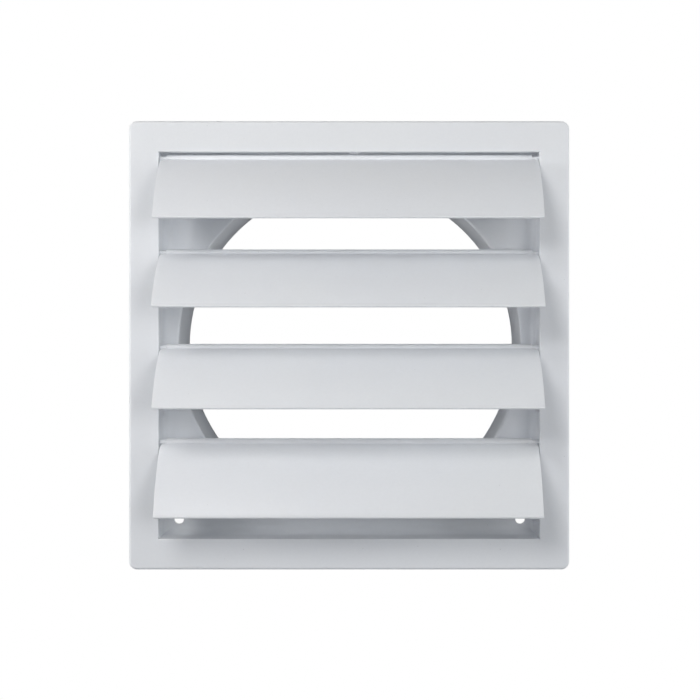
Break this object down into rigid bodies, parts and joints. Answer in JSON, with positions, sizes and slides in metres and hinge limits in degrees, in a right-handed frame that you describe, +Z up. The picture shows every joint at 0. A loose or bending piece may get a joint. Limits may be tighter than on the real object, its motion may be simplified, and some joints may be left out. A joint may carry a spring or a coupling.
{
  "type": "gravity flap vent",
  "caption": "Wall vent with a moulded frame, curved gravity flaps that swing on side pins, and a round duct spigot behind.",
  "frame": {"origin": "on the axis of the duct spigot, in the wall plane", "axes": "+Y along the spigot, into the wall; +Z up; the flaps face -Y"},
  "size_m": [0.185, 0.0896, 0.1886],
  "materials": {
    "housing_plastic": "pale cool white moulding plastic, satin gloss",
    "flap_plastic": "pale cool white moulding plastic, satin gloss"
  },
  "bodies": {
    "housing": {"housing": "housing_plastic"},
    "flap_1": {"flap_1": "flap_plastic"},
    "flap_2": {"flap_2": "flap_plastic"},
    "flap_3": {"flap_3": "flap_plastic"},
    "flap_4": {"flap_4": "flap_plastic"}
  },
  "joints": [
    {"name": "flap_1_hinge", "type": "hinge", "parent": "housing", "child": "flap_1", "pos_m": [0, -0.016, 0.07855], "axis": [-1, 0, 0], "range_deg": [-42.5, 23.5]},
    {"name": "flap_2_hinge", "type": "hinge", "parent": "housing", "child": "flap_2", "pos_m": [0, -0.016, 0.0387], "axis": [-1, 0, 0], "range_deg": [-49.5, 16.5]},
    {"name": "flap_3_hinge", "type": "hinge", "parent": "housing", "child": "flap_3", "pos_m": [0, -0.016, -0.00115], "axis": [-1, 0, 0], "range_deg": [-47, 19]},
    {"name": "flap_4_hinge", "type": "hinge", "parent": "housing", "child": "flap_4", "pos_m": [0, -0.016, -0.041], "axis": [-1, 0, 0], "range_deg": [-37, 29]}
  ]
}
